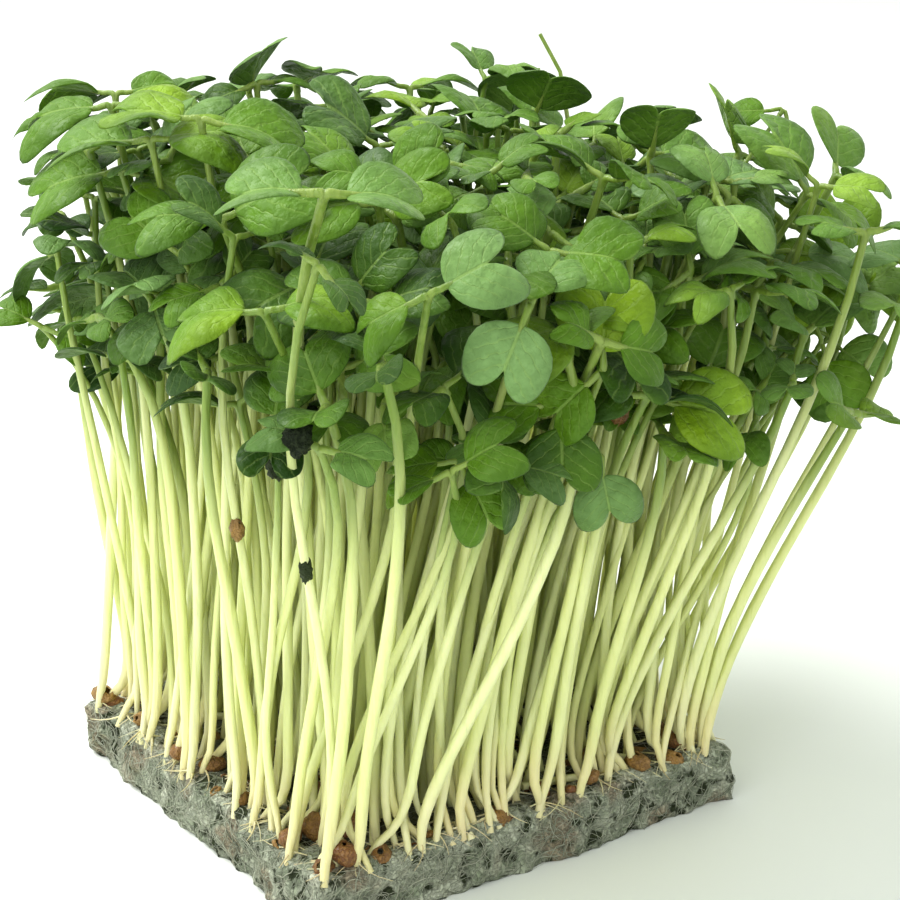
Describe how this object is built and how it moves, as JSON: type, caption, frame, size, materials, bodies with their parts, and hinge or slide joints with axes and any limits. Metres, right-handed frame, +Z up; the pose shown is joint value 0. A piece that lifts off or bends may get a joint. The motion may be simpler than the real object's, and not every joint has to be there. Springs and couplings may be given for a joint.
{
  "type": "microgreens on a growing mat",
  "caption": "Square block of microgreens: slender pale stems with pairs of notched green seed leaves stand upright, rooted in a flat fibre growing mat that rests on a table.",
  "frame": {"origin": "the middle of the growing mat's flat underside, on the table", "axes": "+Z up along the stems, +X along the mat's slightly longer side. The stand leans a little towards +X and -Y."},
  "size_m": [0.0958, 0.0907, 0.0939],
  "materials": {
    "felt": "matte",
    "sprout": "satin",
    "seed_coat": "satin"
  },
  "bodies": {
    "root": {"growing_mat": "felt", "seed_coat_1": "seed_coat", "seed_coat_2": "seed_coat", "seed_coat_3": "seed_coat", "seed_coat_4": "seed_coat", "seed_coat_5": "seed_coat", "seed_coat_6": "seed_coat", "sprouts_1_1": "sprout", "sprouts_1_2": "sprout", "sprouts_1_3": "sprout", "sprouts_1_4": "sprout", "sprouts_1_5": "sprout", "sprouts_1_6": "sprout", "sprouts_1_7": "sprout", "sprouts_2_1": "sprout", "sprouts_2_2": "sprout", "sprouts_2_3": "sprout", "sprouts_2_4": "sprout", "sprouts_2_5": "sprout", "sprouts_2_6": "sprout", "sprouts_2_7": "sprout", "sprouts_3_1": "sprout", "sprouts_3_2": "sprout", "sprouts_3_3": "sprout", "sprouts_3_4": "sprout", "sprouts_3_5": "sprout", "sprouts_3_6": "sprout", "sprouts_3_7": "sprout", "sprouts_4_1": "sprout", "sprouts_4_2": "sprout", "sprouts_4_3": "sprout", "sprouts_4_4": "sprout", "sprouts_4_5": "sprout", "sprouts_4_6": "sprout", "sprouts_4_7": "sprout", "sprouts_5_1": "sprout", "sprouts_5_2": "sprout", "sprouts_5_3": "sprout", "sprouts_5_4": "sprout", "sprouts_5_5": "sprout", "sprouts_5_6": "sprout", "sprouts_5_7": "sprout", "sprouts_6_1": "sprout", "sprouts_6_2": "sprout", "sprouts_6_3": "sprout", "sprouts_6_4": "sprout", "sprouts_6_5": "sprout", "sprouts_6_6": "sprout", "sprouts_6_7": "sprout", "sprouts_7_1": "sprout", "sprouts_7_2": "sprout", "sprouts_7_3": "sprout", "sprouts_7_4": "sprout", "sprouts_7_5": "sprout", "sprouts_7_6": "sprout", "sprouts_7_7": "sprout"}
  },
  "joints": []
}
